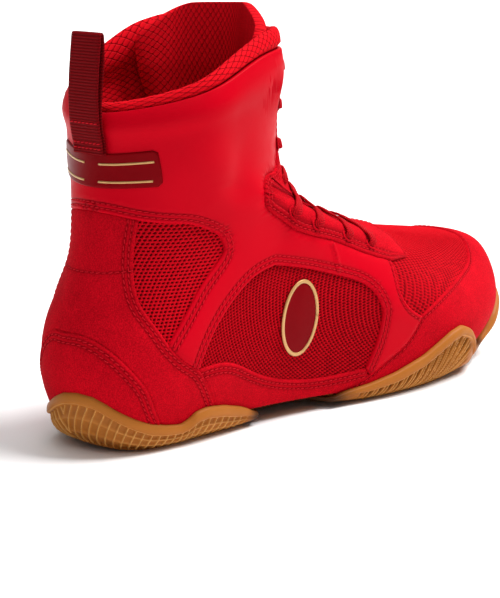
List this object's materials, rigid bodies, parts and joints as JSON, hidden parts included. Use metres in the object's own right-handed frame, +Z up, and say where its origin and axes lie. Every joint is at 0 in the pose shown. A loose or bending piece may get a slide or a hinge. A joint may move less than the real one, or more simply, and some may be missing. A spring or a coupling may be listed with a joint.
{
  "type": "boxing shoe",
  "caption": "High-topped lace-up boxing shoe for the right foot: hollow mesh and leather upper with open collar and throat, padded tongue and a low cupped rubber sole.",
  "frame": {"origin": "middle of the shoe's footprint, on the floor it stands on", "axes": "+X from heel to toe, +Y to the inner (medial) side of the foot, +Z up"},
  "size_m": [0.2934, 0.1024, 0.1842],
  "materials": {
    "mesh": "red knit mesh",
    "gum": "amber gum rubber",
    "insole": "dark red cloth",
    "tongue": "red padded cloth",
    "quarter": "smooth red synthetic leather",
    "counter": "red brushed suede",
    "rand": "red brushed suede",
    "eyestay": "red brushed suede",
    "plate": "dark red gloss with a gold line",
    "badge": "dark red gloss with a gold rim",
    "webbing": "dark red webbing",
    "lace": "dark red flat lace"
  },
  "bodies": {
    "root": {"upper": "mesh", "outsole": "gum", "insole": "insole", "tongue": "tongue", "quarter": "quarter", "heel_counter": "counter", "heel_patch": "counter", "side_rand_lateral": "rand", "side_rand_medial": "rand", "toe_rand": "rand", "eyestay": "eyestay", "back_plate": "plate", "side_badge_lateral": "badge", "side_badge_medial": "badge", "pull_loop": "webbing", "lace_bar": "lace", "lace_1": "lace", "lace_2": "lace", "lace_3": "lace", "lace_4": "lace", "lace_5": "lace", "lace_6": "lace", "lace_7": "lace"}
  },
  "joints": []
}
